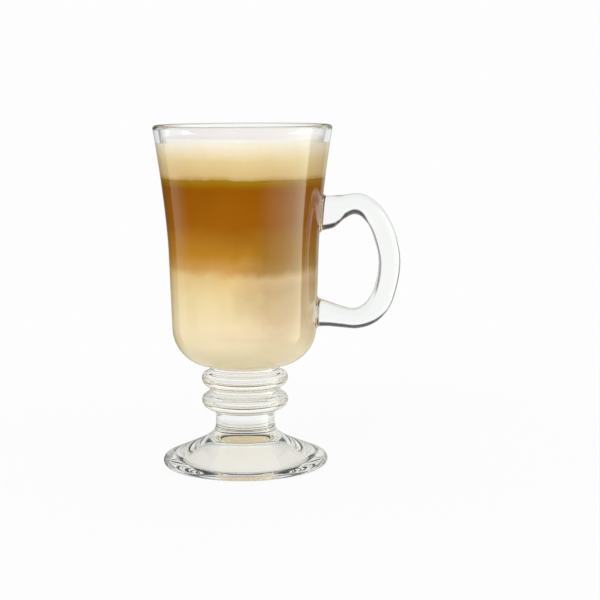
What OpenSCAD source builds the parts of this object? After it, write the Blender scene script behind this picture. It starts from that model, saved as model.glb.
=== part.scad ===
// Glass mug for Irish coffee: a flared bowl on a short stem of two rings and a
// waist, a low domed foot, and one C-shaped handle on the +X side.
// Millimetres, +Z up, origin at the centre of the plane that the foot stands on.

/* [Bowl] */
// Height of the bowl from its seam with the stem to the rim
bowl_h = 102; // [96:0.1:112]
// Outside diameter at the rim
rim_d = 75; // [71:0.5:80]
// Wall thickness at the rim
rim_wall = 2.8; // [1.6:0.1:3.4]
// Outward lean of the wall at the rim, in degrees
rim_lean = 9.6; // [4:0.2:14]
// Length of the leaning pull that the flare ends with
flare_top_pull = 20; // [10:1:26]
// Outside diameter where the flare begins
bowl_flare_d = 63.2; // [61:0.2:67]
// Height above the seam where the flare begins
flare_start_h = 50; // [44:1:56]
// Length of the nearly upright pull that the flare begins with
flare_low_pull = 8; // [4:1:14]
// Outside diameter just above the bottom corner
bowl_low_d = 61; // [57:0.5:63]
// Wall thickness above the bottom corner
side_wall = 3.2; // [2:0.1:4.5]
// Outside radius of the bottom corner
corner_r = 16.2; // [13:0.2:17]
// Inside radius of the bottom corner
inner_corner_r = 13; // [8:0.5:15]
// Thickness of the glass under the drink
base_t = 7.6; // [4:0.2:10]
// Diameter of the seam between the bowl and the upper ring
neck_d = 29.4; // [27:0.2:32]
// Radius of the bowl's hollow above that seam
neck_hollow_r = 0.8; // [0.4:0.1:1.5]

/* [Rings] */
// Diameter of both rings
ring_d = 36.6; // [34:0.2:40]
// Height of the upper ring
upper_ring_h = 9.5; // [8:0.1:12]
// Height of the lower ring
lower_ring_h = 10.4; // [9:0.1:13]
// Diameter of the groove between the rings
groove_d = 30; // [28:0.2:32]
// Radius of the hollow under the upper ring
groove_hollow_r = 1.4; // [0.6:0.1:2]
// Radius of the hollow on top of each ring
ring_top_hollow_r = 2.2; // [0.8:0.1:3]

/* [Stem] */
// Height of the waist between the lower ring and the foot
stem_h = 5.5; // [4:0.1:12]
// Diameter of the waist at its two seams
stem_d = 25.4; // [23:0.2:28]
// How far the waist is drawn in halfway up
waist_depth = 0.2; // [0.1:0.1:1.5]
// Radius of the hollow under the lower ring
stem_hollow_r = 1.9; // [0.8:0.1:3]

/* [Foot] */
// Outside diameter of the foot
foot_d = 70; // [62:0.5:80]
// Height of the foot from the standing plane to its seam with the waist
foot_h = 16.6; // [14:0.2:20]
// Radius of the rounded edge of the foot
foot_edge_r = 2; // [1.4:0.1:2.8]
// Slope of the foot's top where it meets the rounded edge, in degrees
foot_slope = 22.8; // [12:0.2:30]
// Length of the upright pull that the foot's flare starts with
foot_neck_pull = 4.2; // [2:0.1:7]
// Length of the sloping pull that the foot's flare ends with
foot_edge_pull = 14.6; // [8:0.1:18]
// Diameter of the hollow under the foot
recess_d = 52.4; // [40:0.4:60]
// Depth of the hollow under the foot
recess_h = 12.5; // [6:0.5:14]

/* [Handle] */
// Reach of the handle from the bowl's straight side
handle_reach = 35.4; // [28:0.2:42]
// Height of the handle from its lowest to its highest point
handle_h = 57.2; // [50:0.1:64]
// Height of the handle's lowest point above the bowl's seam
handle_low_h = 16; // [14:0.1:22]
// Thickness of the strand from front to back
strand_t = 9.2; // [7:0.2:13]
// Thickness of the handle from front to back where it joins the bowl
root_t = 10.5; // [8:0.5:15]

/* [Hidden] */
$fn = 96;

// Clear glass with a faint green-grey tint
glass = [0.88, 0.94, 0.92, 0.5];

// Steps along each arc and along each curve of a profile
arc_steps = 10;
curve_steps = 16;
// Steps between two stations of the handle, and sides of its strand
station_steps = 4;
strand_sides = 24;

rim_r = rim_d / 2;
lip_r = rim_wall / 2;
lip_z = bowl_h - lip_r;
flare_r = bowl_flare_d / 2;
low_r = bowl_low_d / 2;
neck_r = neck_d / 2;
ring_r = ring_d / 2;
groove_r = groove_d / 2;
stem_r = stem_d / 2;
foot_r = foot_d / 2;
recess_r = recess_d / 2;

// Heights of the seams above the standing plane
stem_z = foot_h;
lower_ring_z = stem_z + stem_h;
upper_ring_z = lower_ring_z + lower_ring_h;
bowl_z = upper_ring_z + upper_ring_h;

// The bowl's corner arc is tangent to the hollow round its neck
corner_x = low_r - corner_r;
neck_hollow_x = neck_r + neck_hollow_r;
corner_z = sqrt(sq(corner_r + neck_hollow_r) - sq(neck_hollow_x - corner_x));

// Height of each ring's widest line, as a share of the ring's height
upper_widest_share = 0.5;
lower_widest_share = 0.55;

// Handle stations from the upper root to the lower root. Each is the outer
// point's reach and height, the inner point's reach and height, how far the
// thickness has gone from the strand's to the root's, and how square the section
// is, where 2 is an oval.
station_shares = [
    [-0.14, 0.981, -0.14, 0.710, 1, 3],
    [0.16, 0.982, 0.16, 0.739, 0.9, 3],
    [0.25, 0.984, 0.25, 0.767, 0.6, 2.6],
    [0.33, 0.988, 0.34, 0.814, 0.3, 2.2],
    [0.47, 1.000, 0.45, 0.844, 0, 2.3],
    [0.62, 0.978, 0.553, 0.821, 0, 2.3],
    [0.793, 0.885, 0.642, 0.745, 0, 2.3],
    [0.926, 0.737, 0.701, 0.643, 0, 2.3],
    [0.994, 0.565, 0.739, 0.545, 0, 2.4],
    [0.998, 0.434, 0.741, 0.453, 0, 2.4],
    [0.956, 0.294, 0.718, 0.357, 0, 2.4],
    [0.872, 0.152, 0.662, 0.254, 0, 2.4],
    [0.702, 0.043, 0.565, 0.176, 0, 2.5],
    [0.50, 0.001, 0.45, 0.148, 0, 2.6],
    [0.30, 0.008, 0.30, 0.166, 0.3, 2.6],
    [0.12, 0.018, 0.12, 0.205, 0.9, 2.8],
    [-0.14, 0.014, -0.14, 0.255, 1, 2.8],
];

function sq(x) = x * x;
function reversed(points) = [for (i = [len(points) - 1:-1:0]) points[i]];
function raised(points, z) = [for (p = points) [p[0], p[1] + z]];
function mirrored(points) = [for (p = points) [p[0], -p[1]]];

// Points along an arc round (x, z) from angle a to angle b
function arc(x, z, r, a, b) =
    [for (i = [0:arc_steps]) let (t = a + (b - a) * i / arc_steps)
        [x + r * cos(t), z + r * sin(t)]];

// Points along a cubic curve with end points p and s, pulled towards q and r
function curve(p, q, r, s) =
    [for (i = [0:curve_steps]) let (t = i / curve_steps, u = 1 - t)
        u * u * u * p + 3 * u * u * t * q + 3 * u * t * t * r + t * t * t * s];

// Point a share t of the way from b to c, on a smooth curve through a, b, c, d
function through(a, b, c, d, t) =
    b + t * (c - a) / 2 + t * t * (2 * a - 5 * b + 4 * c - d) / 2
      + t * t * t * (3 * b - a - 3 * c + d) / 2;

// Outside of the bowl's wall from the top of its corner to the rim
function side_outside() =
    let (start = [flare_r, flare_start_h],
         lean = atan2(flare_r - low_r, flare_start_h - corner_z),
         end = [rim_r, lip_z])
    concat([[low_r, corner_z]],
        curve(start, start + flare_low_pull * [sin(lean), cos(lean)],
              end - flare_top_pull * [sin(rim_lean), cos(rim_lean)], end));

// Wall thickness at a height above the seam
function wall_at(z) =
    side_wall + (rim_wall - side_wall) * (z - corner_z) / (lip_z - corner_z);

// Outside of the bowl, from the axis at the seam to the rim
function bowl_outside() =
    let (meet = atan2(corner_z, corner_x - neck_hollow_x))
    concat([[0, 0]],
        arc(neck_hollow_x, 0, neck_hollow_r, 180, meet),
        arc(corner_x, corner_z, corner_r, meet - 180, 0),
        side_outside());

// Inside of the bowl, from the axis at its floor to the rim
function bowl_inside() =
    let (x = low_r - side_wall - inner_corner_r, z = base_t + inner_corner_r)
    concat([[0, base_t]],
        arc(x, z, inner_corner_r, -90, 0),
        [for (p = side_outside()) if (p[1] > z) [p[0] - wall_at(p[1]), p[1]]]);

// Half of a ring, from its widest line up to the seam h above it, where a hollow
// of radius f runs into the neck. The ring's edge is the arc tangent to it.
function half_ring(neck, f, h) =
    let (b = neck + f - ring_r,
         edge_r = (sq(b) + sq(h) - sq(f)) / (2 * (f - b)),
         edge_x = ring_r - edge_r,
         meet = atan2(h, neck + f - edge_x))
    concat(arc(edge_x, 0, edge_r, 0, meet), arc(neck + f, h, f, meet - 180, -180));

// A cosine or sine drawn out towards the corners of a section
function squared(x, square) = sign(x) * pow(abs(x), 2 / square);

// Stations in millimetres, as [outer point, inner point, half thickness, squareness]
function stations() =
    [for (s = station_shares)
        [[low_r + s[0] * handle_reach, handle_low_h + s[1] * handle_h],
         [low_r + s[2] * handle_reach, handle_low_h + s[3] * handle_h],
         (strand_t + (root_t - strand_t) * s[4]) / 2, s[5]]];

// Section of the strand that spans its outer and inner points
function section(outer, inner, half_t, square) =
    let (mid = (outer + inner) / 2, arm = (outer - inner) / 2)
    [for (i = [0:strand_sides - 1])
        let (a = 360 * i / strand_sides, p = mid + arm * squared(cos(a), square))
        [p[0], half_t * squared(sin(a), square), p[1]]];

// Sections all along the strand
function sections() =
    let (s = stations(), last = len(s) - 1)
    [for (i = [0:last - 1], j = [0:station_steps - (i < last - 1 ? 1 : 0)])
        let (a = s[max(i - 1, 0)], b = s[i], c = s[i + 1], d = s[min(i + 2, last)],
             t = j / station_steps)
        section(through(a[0], b[0], c[0], d[0], t),
                through(a[1], b[1], c[1], d[1], t),
                through(a[2], b[2], c[2], d[2], t),
                through(a[3], b[3], c[3], d[3], t))];

// A ring of the stem, standing on its lower seam
module ring(h, widest_h, lower_neck, lower_hollow_r, upper_neck, upper_hollow_r) {
    lower = mirrored(half_ring(lower_neck, lower_hollow_r, widest_h));
    upper = half_ring(upper_neck, upper_hollow_r, h - widest_h);
    rotate_extrude()
        polygon(concat([[0, 0]], raised(reversed(lower), widest_h),
                       raised(upper, widest_h), [[0, h]]));
}

// The bowl without its inside, for fitting the handle's roots to its wall
module bowl_form() {
    rotate_extrude()
        polygon(concat(bowl_outside(), [[0, lip_z]]));
}

module bowl() {
    color(glass)
    translate([0, 0, bowl_z])
    rotate_extrude() {
        polygon(concat(bowl_outside(), reversed(bowl_inside())));
        translate([rim_r - lip_r, lip_z]) circle(r = lip_r);
    }
}

module upper_ring() {
    color(glass)
    translate([0, 0, upper_ring_z])
    ring(upper_ring_h, upper_ring_h * upper_widest_share,
         groove_r, groove_hollow_r, neck_r, ring_top_hollow_r);
}

module lower_ring() {
    color(glass)
    translate([0, 0, lower_ring_z])
    ring(lower_ring_h, lower_ring_h * lower_widest_share,
         stem_r, stem_hollow_r, groove_r, ring_top_hollow_r);
}

module stem() {
    side_r = (sq(stem_h / 2) + sq(waist_depth)) / (2 * waist_depth);
    color(glass)
    translate([0, 0, stem_z])
    rotate_extrude()
        difference() {
            square([stem_r, stem_h]);
            translate([stem_r - waist_depth + side_r, stem_h / 2]) circle(r = side_r);
        }
}

module foot() {
    edge_x = foot_r - foot_edge_r;
    shoulder = [edge_x + foot_edge_r * sin(foot_slope),
                foot_edge_r + foot_edge_r * cos(foot_slope)];
    neck = [stem_r, foot_h];
    flare = curve(neck, neck - [0, foot_neck_pull],
                  shoulder - foot_edge_pull * [cos(foot_slope), -sin(foot_slope)], shoulder);
    dome_r = (sq(recess_r) + sq(recess_h)) / (2 * recess_h);
    color(glass)
    difference() {
        rotate_extrude()
            polygon(concat([[0, 0]],
                arc(edge_x, foot_edge_r, foot_edge_r, -90, 90 - foot_slope),
                reversed(flare), [[0, foot_h]]));
        translate([0, 0, recess_h - dome_r]) sphere(r = dome_r);
    }
}

// The handle's strand with both ends left long, inside the bowl's wall
module strand() {
    rings = sections();
    n = strand_sides;
    last_ring = (len(rings) - 1) * n;
    points = [for (r = rings) each r];
    sides = [for (k = [0:n:last_ring - n], i = [0:n - 1])
        let (a = k + i, b = k + (i + 1) % n)
        each [[a, b, b + n], [a, b + n, a + n]]];
    ends = [[for (i = [n - 1:-1:0]) i], [for (i = [0:n - 1]) last_ring + i]];
    polyhedron(points, concat(sides, ends), convexity = 4);
}

module handle() {
    color(glass)
    translate([0, 0, bowl_z])
    difference() {
        strand();
        bowl_form();
    }
}

bowl();
upper_ring();
lower_ring();
stem();
foot();
handle();
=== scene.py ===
"""Looks of a glass mug for Irish coffee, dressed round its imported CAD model.

The glass is made again as finer surfaces, one for each CAD node. They are open at
the fused seams, so that light crosses a seam as it does in one body of glass. The
drink is made here alone: milk and coffee in one piece, and the foam on top.
"""

import math

import bmesh
import bpy
from mathutils import Matrix, Vector, noise


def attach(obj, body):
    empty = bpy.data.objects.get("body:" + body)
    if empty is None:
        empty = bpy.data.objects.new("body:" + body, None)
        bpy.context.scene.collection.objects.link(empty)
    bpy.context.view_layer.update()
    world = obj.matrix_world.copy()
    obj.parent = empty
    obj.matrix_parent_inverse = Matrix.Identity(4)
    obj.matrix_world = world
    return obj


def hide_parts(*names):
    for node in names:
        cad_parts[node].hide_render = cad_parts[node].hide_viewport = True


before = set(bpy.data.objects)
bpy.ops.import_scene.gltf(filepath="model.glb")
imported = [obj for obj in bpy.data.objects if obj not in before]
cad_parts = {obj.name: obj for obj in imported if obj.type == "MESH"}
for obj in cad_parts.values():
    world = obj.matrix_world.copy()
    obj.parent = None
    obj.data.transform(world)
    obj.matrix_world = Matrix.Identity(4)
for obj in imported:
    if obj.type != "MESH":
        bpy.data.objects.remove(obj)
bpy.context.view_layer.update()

# Millimetres, in which the mug's and the drink's sizes are written, to Blender's metres
MM = 0.001
BODY = "root"

# Bowl, as in the CAD model
BOWL_H = 102
RIM_R = 37.5
RIM_WALL = 2.8
RIM_LEAN = 9.6
FLARE_TOP_PULL = 20
FLARE_R = 31.6
FLARE_START_H = 50
FLARE_LOW_PULL = 8
LOW_R = 30.5
SIDE_WALL = 3.2
CORNER_R = 16.2
INNER_CORNER_R = 13
BASE_T = 7.6
NECK_R = 14.7
NECK_HOLLOW_R = 0.8

# Rings and waist of the stem
RING_R = 18.3
UPPER_RING_H = 9.5
LOWER_RING_H = 10.4
UPPER_WIDEST_SHARE = 0.5
LOWER_WIDEST_SHARE = 0.55
GROOVE_R = 15
GROOVE_HOLLOW_R = 1.4
RING_TOP_HOLLOW_R = 2.2
STEM_H = 5.5
STEM_R = 12.7
WAIST_DEPTH = 0.2
STEM_HOLLOW_R = 1.9

# Foot
FOOT_R = 35
FOOT_H = 16.6
FOOT_EDGE_R = 2
FOOT_SLOPE = 22.8
FOOT_NECK_PULL = 4.2
FOOT_EDGE_PULL = 14.6
RECESS_R = 26.2
RECESS_H = 12.5

# Handle
HANDLE_REACH = 35.4
HANDLE_H = 57.2
HANDLE_LOW_H = 16
STRAND_T = 9.2
ROOT_T = 10.5
# Radius of the fillet between the handle's roots and the bowl's wall
ROOT_FILLET_R = 1.6
# How near to the wall the fillet stops widening, as a share of its radius
FILLET_END_SHARE = 0.1
# Each station is the outer point's reach and height, the inner point's reach and
# height, how far the thickness has gone from the strand's to the root's, and how
# square the section is: 2 is an ellipse
STATION_SHARES = (
    (-0.14, 0.981, -0.14, 0.710, 1, 3),
    (0.16, 0.982, 0.16, 0.739, 0.9, 3),
    (0.25, 0.984, 0.25, 0.767, 0.6, 2.6),
    (0.33, 0.988, 0.34, 0.814, 0.3, 2.2),
    (0.47, 1.000, 0.45, 0.844, 0, 2.3),
    (0.62, 0.978, 0.553, 0.821, 0, 2.3),
    (0.793, 0.885, 0.642, 0.745, 0, 2.3),
    (0.926, 0.737, 0.701, 0.643, 0, 2.3),
    (0.994, 0.565, 0.739, 0.545, 0, 2.4),
    (0.998, 0.434, 0.741, 0.453, 0, 2.4),
    (0.956, 0.294, 0.718, 0.357, 0, 2.4),
    (0.872, 0.152, 0.662, 0.254, 0, 2.4),
    (0.702, 0.043, 0.565, 0.176, 0, 2.5),
    (0.50, 0.001, 0.45, 0.148, 0, 2.6),
    (0.30, 0.008, 0.30, 0.166, 0.3, 2.6),
    (0.12, 0.018, 0.12, 0.205, 0.9, 2.8),
    (-0.14, 0.014, -0.14, 0.255, 1, 2.8),
)

# Heights above the table
STEM_Z = FOOT_H
LOWER_RING_Z = STEM_Z + STEM_H
UPPER_RING_Z = LOWER_RING_Z + LOWER_RING_H
BOWL_Z = UPPER_RING_Z + UPPER_RING_H
FOAM_LOW_Z = 122.3
FOAM_TOP_Z = 139.2
# How far the drink's skin lies inside the glass, where it wets the wall
WETTING = 0.1
# Where the foam comes off the wall, the air between them above, the foam's rounded
# shoulder, and how far its top swells and is lumpy
FOAM_FREE_Z = 137.2
FOAM_GAP = 0.35
FOAM_SHOULDER_R = 1.2
FOAM_SWELL = 0.9
FOAM_LUMP = 0.5
# The lumps' noise, for places in metres. From the shoulder inward the lumps grow, and
# are whole at 1 / LUMP_GROWTH of the way to the middle
LUMP_SCALE = 90
LUMP_DIMENSION = 1
LUMP_LACUNARITY = 2
LUMP_OCTAVES = 4
LUMP_GROWTH = 3
# How far the line between coffee and foam waves and ripples, and how often round the glass
LEVEL_WAVE = 0.35
LEVEL_WAVE_SCALE = 2.3
LEVEL_RIPPLE = 0.15
LEVEL_RIPPLE_SCALE = 9

# Between these values a noise texture mostly lies
NOISE_LOW = 0.3
NOISE_HIGH = 0.7
# The Blend of a Layer Weight whose Facing is 1 less the cosine
EVEN_BLEND = 0.5

# The glass loses its tint on the way up the thin wall to the rim
THIN_LOW_Z = 124
THIN_HIGH_Z = 134
# Painted shade on the rim: its crest is darker where it is seen edge-on, and its two ends
# darkest, where the eye looks level and along the wall. Facing is 0 where the surface, the
# wall or the table looks at the eye, and 1 where it is seen edge-on
CREST_LOW_Z = 142.9
CREST_HIGH_Z = 143.6
CREST_FACING_LOW = 0.08
CREST_FACING_HIGH = 0.45
CREST_SHARE = 0.5
END_LOW_Z = 141.6
END_HIGH_Z = 142.6
END_FACING_LOW = 0.55
END_FACING_HIGH = 0.72
TABLE_FACING_LOW = 0.4
TABLE_FACING_HIGH = 0.75
# What the whole painted shade lets through
PAINTED_RIM_SHADE = (0.05, 0.07, 0.12, 1)

# Heights between which the drink goes from its milk's lowest colour to its coffee's
# highest, and how far down clouds shift them at most. Each stop is a share of the way,
# and a colour on screen, and the stops stand only where the colour turns
LAYERS_LOW_Z = 53
LAYERS_HIGH_Z = 131
LAYERS_DRIFT = 10
# The milk's lowest stops are paler than the milk above them: painted light, making up for the
# light that falls off low down, where the bowl's corner curves in
LAYERS = (
    (0.00, (250, 221, 187)),
    (0.07, (252, 231, 197)),
    (0.33, (238, 212, 159)),
    (0.44, (229, 194, 133)),
    (0.485, (208, 155, 85)),
    (0.56, (188, 129, 40)),
    (0.73, (157, 92, 10)),
    (0.96, (147, 83, 3)))
# Streaks in the drink: their scale, how much taller than wide they are, and how much
# they lighten and darken it
STREAK_SCALE = 75
STREAK_TALLNESS = 2
STREAK_DEPTH = 0.03
# Milk is paler where it is seen edge-on, as if light came round through it. That is
# whole up to one share of the way up the layers, and ends at another
MILK_FACING_LOW = 0.14
MILK_FACING_HIGH = 0.27
PALE_WHOLE_SHARE = 0.12
PALE_END_SHARE = 0.36
PALE_MILK = (255, 234, 192)
# The drink is browner on the handle's side: the distances towards the handle where that
# begins and is whole, how far back clouds shift them at most, the heights between which
# the browning runs, and its stops, which the drink's colour is multiplied by
BROWN_LOW_X = 10
BROWN_HIGH_X = 26
BROWN_DRIFT = 30
BROWN_LOW_Z = 56
BROWN_HIGH_Z = 116
BROWNING = (
    (0.02, (1, 1, 1, 1)),
    (0.22, (0.82, 0.74, 0.72, 1)),
    (0.44, (0.75, 0.68, 0.68, 1)),
    (0.52, (0.86, 0.84, 0.98, 1)),
    (0.60, (0.68, 0.72, 0.66, 1)),
    (0.98, (1, 1, 1, 1)))
# Where the coffee turns yellower on its way up to the foam, and how far down clouds
# shift that at most
CREAMY_LOW_Z = 120
CREAMY_HIGH_Z = 123.4
CREAMY_DRIFT = 2
CREAMY_COFFEE = (164, 122, 14)
# The foam's colours, in the same form as the drink's layers
FOAM_LAYERS_LOW_Z = 123.8
FOAM_LAYERS_HIGH_Z = 142.8
FOAM_LAYERS_DRIFT = 3
FOAM_LAYERS = (
    (0.00, (172, 125, 30)),
    (0.04, (200, 160, 84)),
    (0.12, (218, 185, 126)),
    (0.42, (230, 203, 148)),
    (0.60, (241, 222, 185)),
    (1.00, (254, 251, 250)))

# Air between the foot's flat ring and the floor
FLOOR_GAP = 0.2
# The floor's radius in metres, and its corners
FLOOR_R = 3
FLOOR_SIDES = 64
# Brightness of the backdrop, and of the light that comes from all round
WHITE = 0.985
FILL = 0.47
# The brightest window, and the brightness at bearings round the mug, in degrees from
# the camera's side and positive to the right
WINDOW_GLOW = 3.9
WINDOWS = (
    (-180, 0.3), (-165, 0.3), (-155, 0.04), (-124, 0.04), (-122, 0.75), (-108, 0.75),
    (-98, 0.35), (-84, 0.04), (20, 0.03), (34, 0.3), (43, 0.7), (59, 1.3), (77, 2.2), (89, 3.1),
    (101, 3.9), (103, 0.2), (112, 0.12), (145, 0.12), (153, 0.6), (180, 0.4))
WINDOW_TINT = (0.95, 1, 0.82)
# How steeply up the windows begin to fade and are gone, as the upward part of the
# mirrored ray
WINDOWS_FADE = 0.45
WINDOWS_GONE = 0.65
# What the glass mirrors of the pale floor, and how steeply down that begins and is whole,
# as the upward part of the mirrored ray, which is negative
FLOOR_GLOW = 1
FLOOR_FROM = -0.3
FLOOR_WHOLE = -0.55
# The backdrop that is seen through the glass: how fast its edge climbs to the sides, the
# upward parts of the ray where the edge begins and is whole straight behind the mug, and
# its brightness above
BACKDROP_SPREAD = 0.4
EDGE_LOW = 0.18
EDGE_HIGH = 0.27
DARK_TOP = 0.03
# The pale ceiling over it: the upward parts of the ray where it begins and is whole, and
# its brightness
CEILING_FROM = 0.6
CEILING_WHOLE = 0.7
CEILING_GLOW = 0.8
# Brightness, through the glass, at angles from straight behind the mug: the gap between
# the backdrop and what stands beside it is dim
BESIDE = ((180, 1), (62, 1), (57, 0.35), (41, 0.35), (35, 1), (0, 1))
# Colour of the floor through the glass, at distances in metres from the mug's axis, and
# where that begins to give way to what stands beside the mug and has done so. Near the
# mug the colour holds painted shadow, and a warm tint that is a painted reflection of the
# drink
FLOOR_THROUGH_GLASS = (
    (0, (0.88, 0.84, 0.78, 1)),
    (0.035, (0.88, 0.85, 0.80, 1)),
    (0.05, (0.86, 0.85, 0.82, 1)),
    (0.07, (0.86, 0.85, 0.82, 1)),
    (0.1, (0.95, 0.95, 0.95, 1)))
FLOOR_CLOSE_R = 0.2
FLOOR_FAR_R = 0.3
# For the eye, the floor is plain white but for a share that the lamps light, which is
# whole near the mug and fades out further off, between two distances in metres
LIT_SHARE = 0.08
LIT_R = 0.05
UNLIT_R = 0.3

# The photograph's viewpoint: a little right of the mug, above its rim and looking down,
# in metres and degrees, with the lens in millimetres
CAMERA_X = 0.0236
CAMERA_Y = -0.6653
CAMERA_Z = 0.1604
CAMERA_DOWN = 7.73
CAMERA_ROLL = -0.3
SENSOR_W = 36
LENS = 95.2
# What the lamps are aimed at
LAMP_TARGET = (0, 0, 0.08)

# Corners round the axis, and steps along each arc and curve of an outline
SIDES = 144
ARC_STEPS = 24
CURVE_STEPS = 40
# Steps between two stations of the handle, between the two next to a root, and
# corners of its strand
STATION_STEPS = 10
ROOT_STEPS = 60
STRAND_SIDES = 64
# Steps of the foam's top from its shoulder to its middle
TOP_STEPS = 40
# Points this near to the axis, and heights this near to each other, are the same
ON_AXIS = 1e-6
SAME_HEIGHT = 1e-4
# Corners this near to each other become one, in metres
WELD = MM / 1000
# Material slots that tell the faces apart while the bowl and the handle are fused
WALL_SLOT = 0
CAP_SLOT = 1
STRAND_SLOT = 2
SLOT_COUNT = 3

# Worked out from the sizes above
CORNER_X = LOW_R - CORNER_R
NECK_HOLLOW_X = NECK_R + NECK_HOLLOW_R
CORNER_Z = math.sqrt((CORNER_R + NECK_HOLLOW_R) ** 2 - (NECK_HOLLOW_X - CORNER_X) ** 2)
LIP_R = RIM_WALL / 2
LIP_Z = BOWL_H - LIP_R


# Outlines: lists of (distance from the axis, height), in millimetres


def arc(x, z, r, start, end):
    """Points along an arc round (x, z), between two angles in degrees."""
    turns = [math.radians(start + (end - start) * i / ARC_STEPS) for i in range(ARC_STEPS + 1)]
    return [(x + r * math.cos(t), z + r * math.sin(t)) for t in turns]


def curve(p, q, r, s):
    """Points along a cubic curve from p to s, pulled towards q and r."""
    points = []
    for i in range(CURVE_STEPS + 1):
        t = i / CURVE_STEPS
        u = 1 - t
        shares = (u ** 3, 3 * u * u * t, 3 * u * t * t, t ** 3)
        points.append(tuple(sum(w * c[k] for w, c in zip(shares, (p, q, r, s))) for k in (0, 1)))
    return points


def direction(angle):
    """The unit step at an angle in degrees from the horizontal."""
    return math.cos(math.radians(angle)), math.sin(math.radians(angle))


def stepped(point, length, angle):
    """The point that lies a length away at an angle."""
    x, z = direction(angle)
    return point[0] + length * x, point[1] + length * z


def raised(points, by):
    """An outline moved up."""
    return [(x, z + by) for x, z in points]


def upside_down(points):
    """An outline mirrored at height 0."""
    return [(x, -z) for x, z in points]


def side_outside():
    """Outside of the bowl's wall, from the top of its corner to the rim."""
    lean = math.degrees(math.atan2(FLARE_START_H - CORNER_Z, FLARE_R - LOW_R))
    start = (FLARE_R, FLARE_START_H)
    end = (RIM_R, LIP_Z)
    flare = curve(start, stepped(start, FLARE_LOW_PULL, lean),
                  stepped(end, FLARE_TOP_PULL, -90 - RIM_LEAN), end)
    return [(LOW_R, CORNER_Z)] + flare


def wall_at(z):
    """Thickness of the bowl's wall at a height above its seam."""
    return SIDE_WALL + (RIM_WALL - SIDE_WALL) * (z - CORNER_Z) / (LIP_Z - CORNER_Z)


def bowl_outside():
    """Outside of the bowl from its seam over the lip to the inside of the rim."""
    meet = math.degrees(math.atan2(CORNER_Z, CORNER_X - NECK_HOLLOW_X))
    hollow = arc(NECK_HOLLOW_X, 0, NECK_HOLLOW_R, 180, meet)
    corner = arc(CORNER_X, CORNER_Z, CORNER_R, meet - 180, 0)
    lip = arc(RIM_R - LIP_R, LIP_Z, LIP_R, 0, 180)
    return hollow + corner + side_outside()[1:-1] + lip


def bowl_inside():
    """Inside of the bowl, from the axis at its floor to the rim."""
    x = LOW_R - SIDE_WALL - INNER_CORNER_R
    z = BASE_T + INNER_CORNER_R
    side = [(p[0] - wall_at(p[1]), p[1]) for p in side_outside() if p[1] > z]
    return [(0, BASE_T)] + arc(x, z, INNER_CORNER_R, -90, 0) + side


def half_ring(neck, hollow_r, h):
    """Half of a ring, from its widest line up to its seam with the neck above it."""
    b = neck + hollow_r - RING_R
    edge_r = (b * b + h * h - hollow_r ** 2) / (2 * (hollow_r - b))
    edge_x = RING_R - edge_r
    meet = math.degrees(math.atan2(h, neck + hollow_r - edge_x))
    return (arc(edge_x, 0, edge_r, 0, meet)
            + arc(neck + hollow_r, h, hollow_r, meet - 180, -180)[1:])


def ring_outline(h, widest_h, lower, upper):
    """A ring of the stem. lower and upper are the neck's radius and its hollow's."""
    below = upside_down(half_ring(*lower, widest_h))[::-1]
    above = half_ring(*upper, h - widest_h)
    return raised(below + above[1:], widest_h)


def stem_outline():
    """The waist, drawn in halfway up by one arc."""
    half = STEM_H / 2
    side_r = (half ** 2 + WAIST_DEPTH ** 2) / (2 * WAIST_DEPTH)
    lean = math.degrees(math.asin(half / side_r))
    return arc(STEM_R - WAIST_DEPTH + side_r, half, side_r, 180 + lean, 180 - lean)


def foot_outline():
    """The foot, from the top of the hollow under it, round its edge to the waist."""
    dome_r = (RECESS_R ** 2 + RECESS_H ** 2) / (2 * RECESS_H)
    spread = math.degrees(math.asin(RECESS_R / dome_r))
    dome = arc(0, RECESS_H - dome_r, dome_r, 90, 90 - spread)
    edge_x = FOOT_R - FOOT_EDGE_R
    edge = arc(edge_x, FOOT_EDGE_R, FOOT_EDGE_R, -90, 90 - FOOT_SLOPE)
    neck = (STEM_R, FOOT_H)
    shoulder = edge[-1]
    flare = curve(shoulder, stepped(shoulder, FOOT_EDGE_PULL, 180 - FOOT_SLOPE),
                  stepped(neck, FOOT_NECK_PULL, -90), neck)
    return dome + edge + flare[1:]


def radius_at(outline, z):
    """Distance from the axis at a height, on an outline that climbs steadily."""
    for (x0, z0), (x1, z1) in zip(outline, outline[1:]):
        if z0 <= z <= z1:
            return x0 + (x1 - x0) * (z - z0) / (z1 - z0)
    return outline[-1][0] if z > outline[-1][1] else outline[0][0]


# Meshes


def turned(bm, outline, base_z, slot=0):
    """Adds an outline turned round the axis. The body is on the outline's left."""
    rings = []
    for x, z in outline:
        place = Vector((x, 0, z + base_z)) * MM
        if x < ON_AXIS:
            rings.append([bm.verts.new(place)] * SIDES)
            continue
        turns = [math.tau * k / SIDES for k in range(SIDES)]
        rings.append([bm.verts.new((place.x * math.cos(t), place.x * math.sin(t), place.z))
                      for t in turns])
    for low, high in zip(rings, rings[1:]):
        for k in range(SIDES):
            corners = [low[k - 1], low[k], high[k], high[k - 1]]
            face = bm.faces.new(list(dict.fromkeys(corners)))
            face.material_index = slot
            face.smooth = True


def piece(name, bm, material):
    """A new object that holds the mesh and rides on the mug."""
    mesh = bpy.data.meshes.new(name)
    bm.to_mesh(mesh)
    bm.free()
    mesh.materials.clear()
    mesh.materials.append(material)
    made = bpy.data.objects.new(name, mesh)
    bpy.context.scene.collection.objects.link(made)
    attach(made, BODY)
    return made


def glass_piece(node, bm, material):
    """The finer surface that stands for a CAD node of glass."""
    made = piece(f"{node}_glass", bm, material)
    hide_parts(node)


def through(points, t):
    """The value a share t of the way from the second to the third of four."""
    a, b, c, d = points
    return (b + t * (c - a) / 2 + t * t * (2 * a - 5 * b + 4 * c - d) / 2
            + t ** 3 * (3 * b - a - 3 * c + d) / 2)


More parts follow.
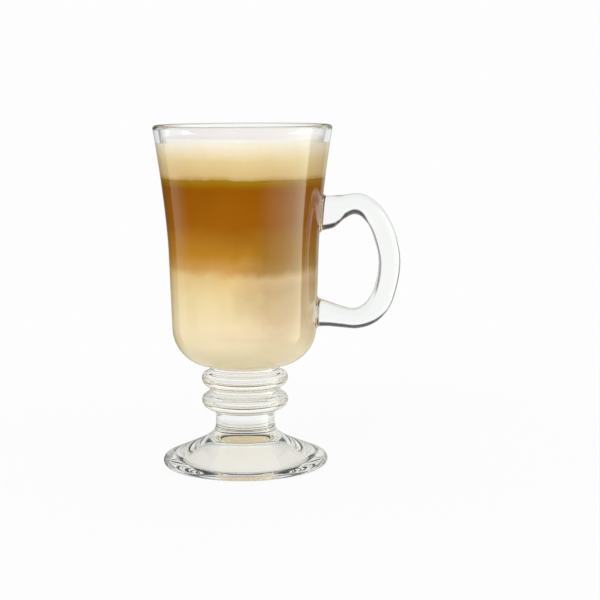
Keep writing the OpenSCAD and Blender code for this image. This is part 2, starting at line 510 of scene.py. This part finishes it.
def stations():
    """Each station's points, half thickness and squareness, above the bowl's seam."""
    rows = []
    for outer_x, outer_z, inner_x, inner_z, root, square in STATION_SHARES:
        rows.append((LOW_R + outer_x * HANDLE_REACH, HANDLE_LOW_H + outer_z * HANDLE_H,
                     LOW_R + inner_x * HANDLE_REACH, HANDLE_LOW_H + inner_z * HANDLE_H,
                     (STRAND_T + (ROOT_T - STRAND_T) * root) / 2, square))
    return rows


def sections():
    """Centre, arm to the outer edge, half thickness and squareness along the strand."""
    rows = stations()
    last = len(rows) - 1
    made = []
    for i in range(last):
        near = [rows[max(i - 1, 0)], rows[i], rows[i + 1], rows[min(i + 2, last)]]
        steps = ROOT_STEPS if i in (0, last - 1) else STATION_STEPS
        for j in range(steps + (i == last - 1)):
            ox, oz, ix, iz, half_t, square = (
                through(column, j / steps) for column in zip(*near))
            centre = Vector(((ox + ix) / 2, 0, (oz + iz) / 2))
            arm = Vector(((ox - ix) / 2, 0, (oz - iz) / 2))
            made.append((centre, arm, half_t, square))
    return made


def fillet_at(gap):
    """How far the root's fillet widens the strand at a distance from the wall."""
    near = min(max(gap, ROOT_FILLET_R * FILLET_END_SHARE), ROOT_FILLET_R)
    return ROOT_FILLET_R - math.sqrt(ROOT_FILLET_R ** 2 - (ROOT_FILLET_R - near) ** 2)


def squared(share, square):
    """A cosine or sine drawn out to the corners of a section."""
    return math.copysign(abs(share) ** (2 / square), share)


def strand(bm, slot):
    """Adds the handle's strand, closed, with its ends inside the bowl's wall."""
    wall = side_outside()
    rings = []
    for centre, arm, half_t, square in sections():
        ring = []
        for k in range(STRAND_SIDES):
            turn = math.tau * k / STRAND_SIDES
            spoke = (arm * squared(math.cos(turn), square)
                     + Vector((0, half_t * squared(math.sin(turn), square), 0)))
            place = centre + spoke
            gap = math.hypot(place.x, place.y) - radius_at(wall, place.z)
            place += spoke.normalized() * fillet_at(gap)
            ring.append(bm.verts.new((place + Vector((0, 0, BOWL_Z))) * MM))
        rings.append(ring)
    faces = [bm.faces.new(rings[0][::-1]), bm.faces.new(rings[-1])]
    for low, high in zip(rings, rings[1:]):
        for k in range(STRAND_SIDES):
            faces.append(bm.faces.new([low[k - 1], low[k], high[k], high[k - 1]]))
    for face in faces:
        face.material_index = slot
        face.smooth = True
    bmesh.ops.recalc_face_normals(bm, faces=faces)


def scratch_object(name, bm):
    """An object for the Boolean, with a material in each slot."""
    mesh = bpy.data.meshes.new(name)
    bm.to_mesh(mesh)
    bm.free()
    for k in range(SLOT_COUNT):
        mesh.materials.append(bpy.data.materials.new(f"{name}_{k}"))
    made = bpy.data.objects.new(name, mesh)
    bpy.context.scene.collection.objects.link(made)
    return made


def kept_faces(mesh, slot):
    """The mesh's faces with one material index, as a mesh of their own."""
    bm = bmesh.new()
    bm.from_mesh(mesh)
    others = [f for f in bm.faces if f.material_index != slot]
    bmesh.ops.delete(bm, geom=others, context="FACES")
    for face in bm.faces:
        face.material_index = 0
        face.smooth = True
    return bm


def bowl_and_handle(material):
    """Fuses the strand to the bowl, then parts them again along their joint."""
    outside = bowl_outside()
    shell = bmesh.new()
    turned(shell, outside, BOWL_Z, WALL_SLOT)
    turned(shell, [(0, 0), outside[0]], BOWL_Z, CAP_SLOT)
    turned(shell, [outside[-1], (0, LIP_Z)], BOWL_Z, CAP_SLOT)
    bmesh.ops.remove_doubles(shell, verts=shell.verts, dist=WELD)
    handle = bmesh.new()
    strand(handle, STRAND_SLOT)
    shell = scratch_object("shell", shell)
    handle = scratch_object("strand", handle)
    fuse = shell.modifiers.new("fuse", "BOOLEAN")
    fuse.operation = "UNION"
    fuse.solver = "EXACT"
    fuse.material_mode = "INDEX"
    fuse.object = handle
    fused = bpy.data.meshes.new_from_object(
        shell.evaluated_get(bpy.context.evaluated_depsgraph_get()))
    for spent in (shell, handle):
        bpy.data.objects.remove(spent)
    bowl = kept_faces(fused, WALL_SLOT)
    turned(bowl, bowl_inside()[::-1], BOWL_Z)
    bmesh.ops.remove_doubles(bowl, verts=bowl.verts, dist=WELD)
    glass_piece("bowl", bowl, material)
    glass_piece("handle", kept_faces(fused, STRAND_SLOT), material)
    bpy.data.meshes.remove(fused)


def turned_glass(node, outline, base_z, material):
    """A node of glass that is one outline turned round the axis."""
    bm = bmesh.new()
    turned(bm, outline, base_z)
    glass_piece(node, bm, material)


def wetted(outline):
    """An inside outline moved into the glass by the wetting."""
    made = []
    for i, (x, z) in enumerate(outline):
        x0, z0 = outline[max(i - 1, 0)]
        x1, z1 = outline[min(i + 1, len(outline) - 1)]
        step = math.hypot(x1 - x0, z1 - z0)
        made.append((max(x + WETTING * (z1 - z0) / step, 0) if i else 0,
                     z - WETTING * (x1 - x0) / step))
    return made


def drink_wall():
    """The drink's skin against the glass, above the table."""
    return raised(wetted(bowl_inside()), BOWL_Z)


def drink_level(turn):
    """Height of the line between coffee and foam, which waves a little round the glass."""
    spot = Vector((math.cos(turn), math.sin(turn), 0))
    return (FOAM_LOW_Z + LEVEL_WAVE * noise.noise(spot * LEVEL_WAVE_SCALE)
            + LEVEL_RIPPLE * noise.noise(spot * LEVEL_RIPPLE_SCALE))


def coffee_piece(material):
    """Milk and coffee in one closed piece, up to the foam."""
    wall = [p for p in drink_wall() if p[1] < FOAM_LOW_Z]
    top = (radius_at(drink_wall()[1:], FOAM_LOW_Z), FOAM_LOW_Z)
    bm = bmesh.new()
    turned(bm, wall + [top, (0, FOAM_LOW_Z)], 0)
    wave_level(bm)
    piece("coffee", bm, material)


def wave_level(bm):
    """Moves the corners at the foam line up or down to its waves, along the wall."""
    wall = drink_wall()[1:]
    for v in bm.verts:
        reach = math.hypot(v.co.x, v.co.y)
        if abs(v.co.z / MM - FOAM_LOW_Z) > SAME_HEIGHT or reach < MM:
            continue
        level = drink_level(math.atan2(v.co.y, v.co.x))
        scale = radius_at(wall, level) * MM / reach
        v.co = Vector((v.co.x * scale, v.co.y * scale, level * MM))


def foam_side():
    """The foam's side: on the wall at its foot, and clear of it above, to its shoulder."""
    wall = drink_wall()[1:]
    low = (radius_at(wall, FOAM_LOW_Z), FOAM_LOW_Z)
    on_wall = [p for p in wall if FOAM_LOW_Z < p[1] < FOAM_FREE_Z]
    free = [(radius_at(wall, FOAM_FREE_Z) - WETTING, FOAM_FREE_Z)]
    shoulder_x = radius_at(wall, FOAM_TOP_Z - FOAM_SHOULDER_R) - FOAM_GAP - FOAM_SHOULDER_R
    shoulder = arc(shoulder_x, FOAM_TOP_Z - FOAM_SHOULDER_R, FOAM_SHOULDER_R, 0, 90)
    return [low] + on_wall + free + shoulder


def foam_piece(material):
    """The foam: closed, with a swelled and lumpy top."""
    side = foam_side()
    top_r = side[-1][0]
    top = [(top_r * (1 - i / TOP_STEPS), FOAM_TOP_Z) for i in range(1, TOP_STEPS + 1)]
    bm = bmesh.new()
    turned(bm, [(0, FOAM_LOW_Z)] + side + top, 0)
    wave_level(bm)
    for v in bm.verts:
        if abs(v.co.z / MM - FOAM_TOP_Z) < SAME_HEIGHT:
            inward = 1 - math.hypot(v.co.x, v.co.y) / MM / top_r
            lumps = noise.fractal(v.co * LUMP_SCALE, LUMP_DIMENSION, LUMP_LACUNARITY,
                                  LUMP_OCTAVES) * min(1, LUMP_GROWTH * inward)
            v.co.z += (FOAM_SWELL * (1 - (1 - inward) ** 2) + FOAM_LUMP * lumps) * MM
    piece("foam", bm, material)


# Materials


def srgb(r, g, b):
    """A colour as it looks on screen, 0 to 255, as the values that shaders take."""
    linear = [c / 255 for c in (r, g, b)]
    linear = [c / 12.92 if c <= 0.04045 else ((c + 0.055) / 1.055) ** 2.4 for c in linear]
    return (*linear, 1)


def grey(value):
    """A grey as the value that shaders take."""
    return value, value, value, 1


def add(tree, kind, values=None, **settings):
    """A new node with its settings, and each input set to a value or linked."""
    made = tree.nodes.new(kind)
    for key, value in settings.items():
        setattr(made, key, value)
    for key, value in (values or {}).items():
        if isinstance(value, bpy.types.NodeSocket):
            tree.links.new(value, made.inputs[key])
        else:
            made.inputs[key].default_value = value
    return made


def empty_material(name):
    """A new material without nodes, and its tree."""
    material = bpy.data.materials.new(name)
    material.use_nodes = True
    material.node_tree.nodes.clear()
    return material, material.node_tree


def ramp(tree, factor, stops):
    """A colour ramp through (place, colour) stops."""
    made = add(tree, "ShaderNodeValToRGB", {"Fac": factor})
    elements = made.color_ramp.elements
    while len(elements) < len(stops):
        elements.new(0.5)
    for element, (place, colour) in zip(elements, stops):
        element.position = place
        element.color = colour
    return made.outputs["Color"]


def layers(tree, factor, stops):
    """A colour ramp through (place, colour on screen) stops."""
    return ramp(tree, factor, [(place, srgb(*colour)) for place, colour in stops])


def sum_of(tree, value, factor, more):
    """A value times a factor, and something added."""
    return add(tree, "ShaderNodeMath", {0: value, 1: factor, 2: more},
               operation="MULTIPLY_ADD").outputs[0]


def mapped(tree, value, start, end, low, high):
    """A value brought from the stretch start to end into low to high."""
    return add(tree, "ShaderNodeMapRange", {
        "Value": value, "From Min": start, "From Max": end,
        "To Min": low, "To Max": high}).outputs[0]


def between(tree, value, low, high):
    """How far a value has come from low to high, 0 to 1."""
    return mapped(tree, value, low, high, 0, 1)


def times(tree, a, b):
    """The product of two values."""
    return add(tree, "ShaderNodeMath", {0: a, 1: b}, operation="MULTIPLY").outputs[0]


def product(tree, a, b):
    """The product of two colours or vectors, part by part."""
    return add(tree, "ShaderNodeVectorMath", {0: a, 1: b}, operation="MULTIPLY").outputs[0]


def blend(tree, factor, a, b):
    """The colour that lies a share of the way from a to b."""
    return add(tree, "ShaderNodeMix", {"Factor": factor, "A": a, "B": b},
               data_type="RGBA").outputs["Result"]


def drifted(tree, clouds, by, value):
    """A length in metres, shifted by clouds of up to so many millimetres."""
    return sum_of(tree, clouds.outputs["Fac"], by * MM, value)


def mixed(tree, factor, a, b):
    """The shader that lies a share of the way from node a's to node b's."""
    return add(tree, "ShaderNodeMixShader", {0: factor, 1: a.outputs[0], 2: b.outputs[0]})


def edge_on(tree, low, high, normal=None):
    """How far a surface, or a plane with the given normal, is seen edge-on, 0 to 1."""
    inputs = {"Blend": EVEN_BLEND}
    if normal is not None:
        inputs["Normal"] = normal
    facing = add(tree, "ShaderNodeLayerWeight", inputs).outputs["Facing"]
    return between(tree, facing, low, high)


def painted_rim_shade(tree, place, height):
    """How far the rim takes painted shade: in part on its crest, and whole at its two ends."""
    crest = times(tree, mapped(tree, height, CREST_LOW_Z * MM, CREST_HIGH_Z * MM, 0, CREST_SHARE),
                  edge_on(tree, CREST_FACING_LOW, CREST_FACING_HIGH))
    spoke = product(tree, place, (1, 1, 0))
    spoke = add(tree, "ShaderNodeVectorMath", {0: spoke}, operation="NORMALIZE").outputs[0]
    end = times(tree, between(tree, height, END_LOW_Z * MM, END_HIGH_Z * MM),
                edge_on(tree, END_FACING_LOW, END_FACING_HIGH, spoke))
    end = times(tree, end, edge_on(tree, TABLE_FACING_LOW, TABLE_FACING_HIGH, (0, 0, 1)))
    return add(tree, "ShaderNodeMath", {0: crest, 1: end}, operation="MAXIMUM").outputs[0]


def glass_material():
    """Clear pressed glass. Lamps and bounced light go straight through it."""
    material, tree = empty_material("glass")
    place = add(tree, "ShaderNodeTexCoord").outputs["Object"]
    waves = add(tree, "ShaderNodeTexNoise", {"Vector": place, "Scale": 70, "Detail": 1})
    tint = ramp(tree, waves.outputs["Fac"], (
        (NOISE_LOW, (0.955, 0.975, 0.962, 1)), (NOISE_HIGH, (0.975, 0.985, 0.975, 1))))
    height = add(tree, "ShaderNodeSeparateXYZ", {"Vector": place}).outputs["Z"]
    tint = blend(tree, between(tree, height, THIN_LOW_Z * MM, THIN_HIGH_Z * MM), tint, grey(1))
    # Painted shade: the rim's tint darkens on its crest and at its two ends
    shade = ramp(tree, painted_rim_shade(tree, place, height), ((0, grey(1)), (1, PAINTED_RIM_SHADE)))
    tint = product(tree, tint, shade)
    bump = add(tree, "ShaderNodeBump", {
        "Height": waves.outputs["Fac"], "Strength": 0.05, "Distance": 0.0005})
    clear = add(tree, "ShaderNodeBsdfPrincipled", {
        "Base Color": tint, "Roughness": 0, "IOR": 1.51, "Transmission Weight": 1,
        "Normal": bump.outputs["Normal"]})
    path = add(tree, "ShaderNodeLightPath").outputs
    open_way = add(tree, "ShaderNodeBsdfTransparent", {"Color": (0.93, 0.95, 0.94, 1)})
    bounced = mixed(tree, path["Is Diffuse Ray"], clear, open_way)
    shaded = mixed(tree, path["Is Shadow Ray"], bounced, open_way)
    add(tree, "ShaderNodeOutputMaterial", {"Surface": shaded.outputs[0]})
    return material


def browned(tree, colour, clouds, x, drift):
    """The drink's colour, browner towards the handle."""
    brown = ramp(tree, between(tree, drift, BROWN_LOW_Z * MM, BROWN_HIGH_Z * MM), BROWNING)
    aside = between(tree, drifted(tree, clouds, BROWN_DRIFT, x),
                    BROWN_LOW_X * MM, BROWN_HIGH_X * MM)
    return blend(tree, aside, colour, product(tree, colour, brown))


def drink_material():
    """Milk under coffee, with the line between them blurred.

    It is browner towards the handle, the milk is paler where it is seen edge-on, and the
    coffee is yellower just under the foam.
    """
    material, tree = empty_material("milk_and_coffee")
    place = add(tree, "ShaderNodeTexCoord").outputs["Object"]
    parts = add(tree, "ShaderNodeSeparateXYZ", {"Vector": place}).outputs
    clouds = add(tree, "ShaderNodeTexNoise", {"Vector": place, "Scale": 60, "Detail": 3})
    drift = drifted(tree, clouds, LAYERS_DRIFT, parts["Z"])
    share = between(tree, drift, LAYERS_LOW_Z * MM, LAYERS_HIGH_Z * MM)
    colour = layers(tree, share, LAYERS)
    streaks = add(tree, "ShaderNodeTexNoise", {
        "Vector": product(tree, place, (1, 1, 1 / STREAK_TALLNESS)),
        "Scale": STREAK_SCALE, "Detail": 3})
    depth = mapped(tree, streaks.outputs["Fac"], NOISE_LOW, NOISE_HIGH,
                   1 - STREAK_DEPTH, 1 + STREAK_DEPTH)
    colour = add(tree, "ShaderNodeVectorMath", {0: colour, "Scale": depth},
                 operation="SCALE").outputs[0]
    pale = times(tree, edge_on(tree, MILK_FACING_LOW, MILK_FACING_HIGH),
                 between(tree, share, PALE_END_SHARE, PALE_WHOLE_SHARE))
    colour = blend(tree, pale, colour, srgb(*PALE_MILK))
    colour = browned(tree, colour, clouds, parts["X"], drift)
    creamy = between(tree, drifted(tree, clouds, CREAMY_DRIFT, parts["Z"]),
                     CREAMY_LOW_Z * MM, CREAMY_HIGH_Z * MM)
    colour = blend(tree, creamy, colour, srgb(*CREAMY_COFFEE))
    surface = add(tree, "ShaderNodeBsdfPrincipled", {
        "Base Color": colour, "Roughness": 0.4, "Specular IOR Level": 0})
    add(tree, "ShaderNodeOutputMaterial", {"Surface": surface.outputs[0]})
    return material


def foam_material():
    """Milk foam, amber at the coffee and white at the top, with fine bubbles."""
    material, tree = empty_material("milk_foam")
    place = add(tree, "ShaderNodeTexCoord").outputs["Object"]
    height = add(tree, "ShaderNodeSeparateXYZ", {"Vector": place}).outputs["Z"]
    clouds = add(tree, "ShaderNodeTexNoise", {"Vector": place, "Scale": 110, "Detail": 3})
    share = between(tree, drifted(tree, clouds, FOAM_LAYERS_DRIFT, height),
                    FOAM_LAYERS_LOW_Z * MM, FOAM_LAYERS_HIGH_Z * MM)
    bubbles = add(tree, "ShaderNodeTexVoronoi", {"Vector": place, "Scale": 900})
    bump = add(tree, "ShaderNodeBump", {
        "Height": bubbles.outputs["Distance"], "Strength": 0.4, "Distance": 0.0003})
    surface = add(tree, "ShaderNodeBsdfPrincipled", {
        "Base Color": layers(tree, share, FOAM_LAYERS), "Roughness": 0.6,
        "Specular IOR Level": 0.2, "Normal": bump.outputs["Normal"]})
    add(tree, "ShaderNodeOutputMaterial", {"Surface": surface.outputs[0]})
    return material


# Stage


def background(tree, colour, strength=1.0):
    """Light of a colour and strength from far away."""
    return add(tree, "ShaderNodeBackground", {"Color": colour, "Strength": strength})


def room(tree, x, y, z):
    """The windows of light that the glass mirrors, by their bearing round the mug."""
    front = sum_of(tree, y, -1, 0)
    turn = add(tree, "ShaderNodeMath", {0: x, 1: front}, operation="ARCTAN2").outputs[0]
    share = between(tree, turn, -math.pi, math.pi)
    windows = ramp(tree, share, [
        (0.5 + bearing / 360, (*(c * glow / WINDOW_GLOW for c in WINDOW_TINT), 1))
        for bearing, glow in WINDOWS])
    windows = background(tree, windows,
                         mapped(tree, z, WINDOWS_FADE, WINDOWS_GONE, WINDOW_GLOW, 0))
    below = background(tree, grey(FLOOR_GLOW))
    return mixed(tree, between(tree, z, FLOOR_FROM, FLOOR_WHOLE), windows, below)


def beside(tree, y):
    """Brightness of what stands round the mug. y is the cosine of the angle from its back."""
    return ramp(tree, sum_of(tree, y, 0.5, 0.5), [
        (0.5 + math.cos(math.radians(angle)) / 2, grey(glow * WHITE)) for angle, glow in BESIDE])


def backdrop(tree, y, z):
    """What is seen through the glass: white, and dark above the backdrop's edge."""
    height = sum_of(tree, y, BACKDROP_SPREAD, z)
    wall = mapped(tree, height, BACKDROP_SPREAD + EDGE_LOW, BACKDROP_SPREAD + EDGE_HIGH,
                  1, DARK_TOP)
    ceiling = mapped(tree, z, CEILING_FROM, CEILING_WHOLE, 0, CEILING_GLOW)
    glow = add(tree, "ShaderNodeMath", {0: wall, 1: ceiling}, operation="MAXIMUM").outputs[0]
    return background(tree, beside(tree, y), glow)


def light_world():
    """White for the eye, an even fill for what is lit, and a studio for the glass."""
    world = bpy.data.worlds.new("studio")
    bpy.context.scene.world = world
    world.use_nodes = True
    tree = world.node_tree
    tree.nodes.clear()
    path = add(tree, "ShaderNodeLightPath").outputs
    way = add(tree, "ShaderNodeTexCoord").outputs["Generated"]
    x, y, z = add(tree, "ShaderNodeSeparateXYZ", {"Vector": way}).outputs
    seen = background(tree, grey(1), FILL)
    for source, back in (("Is Glossy Ray", room(tree, x, y, z)),
                         ("Is Transmission Ray", backdrop(tree, y, z)),
                         ("Is Camera Ray", background(tree, grey(WHITE)))):
        seen = mixed(tree, path[source], seen, back)
    add(tree, "ShaderNodeOutputWorld", {"Surface": seen.outputs[0]})


def area_light(name, place, width, height, power):
    """A lamp in metres and watts, aimed at the mug, which the glass doesn't show."""
    lamp = bpy.data.lights.new(name, "AREA")
    lamp.shape = "RECTANGLE"
    lamp.size = width
    lamp.size_y = height
    lamp.energy = power
    made = bpy.data.objects.new(name, lamp)
    made.location = place
    aim = Vector(LAMP_TARGET) - Vector(place)
    made.rotation_euler = aim.to_track_quat("-Z", "Y").to_euler()
    made.visible_glossy = False
    made.visible_transmission = False
    bpy.context.scene.collection.objects.link(made)


def round_the_mug(bearing, distance, height):
    """A place at a bearing from the camera's side, positive to the right."""
    turn = math.radians(bearing)
    return distance * math.sin(turn), -distance * math.cos(turn), height


def lamps():
    """Soft light from both sides, above and behind."""
    area_light("left_key", round_the_mug(bearing=-28, distance=1.1, height=0.7),
               width=0.7, height=0.7, power=8.6)
    area_light("right_fill", round_the_mug(bearing=60, distance=1.2, height=0.4),
               width=0.5, height=0.8, power=3.5)
    area_light("top_fill", (0, 0.2, 1.3), width=1.0, height=1.0, power=3.2)
    area_light("back_fill", round_the_mug(bearing=165, distance=1.2, height=0.4),
               width=0.7, height=0.7, power=4.2)


def floor_through_glass(tree, place, reach):
    """The floor's colour through the glass: close to the mug, and further off."""
    y = add(tree, "ShaderNodeSeparateXYZ", {"Vector": place}).outputs["Y"]
    cosine = add(tree, "ShaderNodeMath", {0: y, 1: reach}, operation="DIVIDE").outputs[0]
    around = add(tree, "ShaderNodeEmission", {"Color": beside(tree, cosine)})
    # Near the mug: painted shadow, and a warm painted reflection of the drink
    close = add(tree, "ShaderNodeEmission", {"Color": ramp(tree, reach, FLOOR_THROUGH_GLASS)})
    return mixed(tree, between(tree, reach, FLOOR_CLOSE_R, FLOOR_FAR_R), close, around)


def floor_material():
    """Pale, with its own look for the eye, through the glass and mirrored in it.

    Lamps light it. Mirrored rays go through it to the world's own floor.
    """
    material, tree = empty_material("pale_floor")
    path = add(tree, "ShaderNodeLightPath").outputs
    grain = add(tree, "ShaderNodeTexNoise", {"Scale": 40, "Detail": 2})
    tone = ramp(tree, grain.outputs["Fac"], ((NOISE_LOW, grey(0.84)), (NOISE_HIGH, grey(0.86))))
    pale = add(tree, "ShaderNodeBsdfDiffuse", {"Color": tone})
    open_way = add(tree, "ShaderNodeBsdfTransparent")
    bright = add(tree, "ShaderNodeEmission", {"Color": grey(WHITE)})
    place = add(tree, "ShaderNodeTexCoord").outputs["Object"]
    reach = add(tree, "ShaderNodeVectorMath", {0: place}, operation="LENGTH").outputs["Value"]
    unlit = mapped(tree, reach, LIT_R, UNLIT_R, 1 - LIT_SHARE, 1)
    seen = pale
    for source, look in (("Is Glossy Ray", open_way),
                         ("Is Transmission Ray", floor_through_glass(tree, place, reach)),
                         ("Is Camera Ray", mixed(tree, unlit, pale, bright))):
        seen = mixed(tree, path[source], seen, look)
    add(tree, "ShaderNodeOutputMaterial", {"Surface": seen.outputs[0]})
    return material


def floor():
    """A round floor just under the foot, which shows the soft shadow."""
    bm = bmesh.new()
    bmesh.ops.create_circle(bm, cap_ends=True, segments=FLOOR_SIDES, radius=FLOOR_R)
    mesh = bpy.data.meshes.new("floor")
    bm.to_mesh(mesh)
    bm.free()
    mesh.materials.append(floor_material())
    made = bpy.data.objects.new("floor", mesh)
    made.location.z = -FLOOR_GAP * MM
    bpy.context.scene.collection.objects.link(made)


def camera():
    """The photograph's viewpoint."""
    lens = bpy.data.cameras.new("camera")
    lens.sensor_width = SENSOR_W
    lens.lens = LENS
    made = bpy.data.objects.new("camera", lens)
    made.location = (CAMERA_X, CAMERA_Y, CAMERA_Z)
    tilt = Matrix.Rotation(math.radians(90 - CAMERA_DOWN), 4, "X")
    roll = Matrix.Rotation(math.radians(CAMERA_ROLL), 4, "Z")
    made.rotation_euler = (tilt @ roll).to_euler()
    bpy.context.scene.collection.objects.link(made)
    bpy.context.scene.camera = made


def dress():
    """Every piece that is seen in place of the CAD model, and the drink."""
    glass = glass_material()
    bowl_and_handle(glass)
    upper = ring_outline(UPPER_RING_H, UPPER_RING_H * UPPER_WIDEST_SHARE,
                         (GROOVE_R, GROOVE_HOLLOW_R), (NECK_R, RING_TOP_HOLLOW_R))
    lower = ring_outline(LOWER_RING_H, LOWER_RING_H * LOWER_WIDEST_SHARE,
                         (STEM_R, STEM_HOLLOW_R), (GROOVE_R, RING_TOP_HOLLOW_R))
    turned_glass("upper_ring", upper, UPPER_RING_Z, glass)
    turned_glass("lower_ring", lower, LOWER_RING_Z, glass)
    turned_glass("stem", stem_outline(), STEM_Z, glass)
    turned_glass("foot", foot_outline(), 0, glass)
    coffee_piece(drink_material())
    foam_piece(foam_material())


def bounce_limits():
    """Enough bounces for light to cross every wall of glass."""
    cycles = bpy.context.scene.cycles
    cycles.max_bounces = 32
    cycles.transmission_bounces = 32
    cycles.glossy_bounces = 16
    cycles.transparent_max_bounces = 32


dress()
floor()
light_world()
lamps()
camera()
bounce_limits()
bpy.context.scene.view_settings.view_transform = "Standard"
bpy.context.view_layer.update()
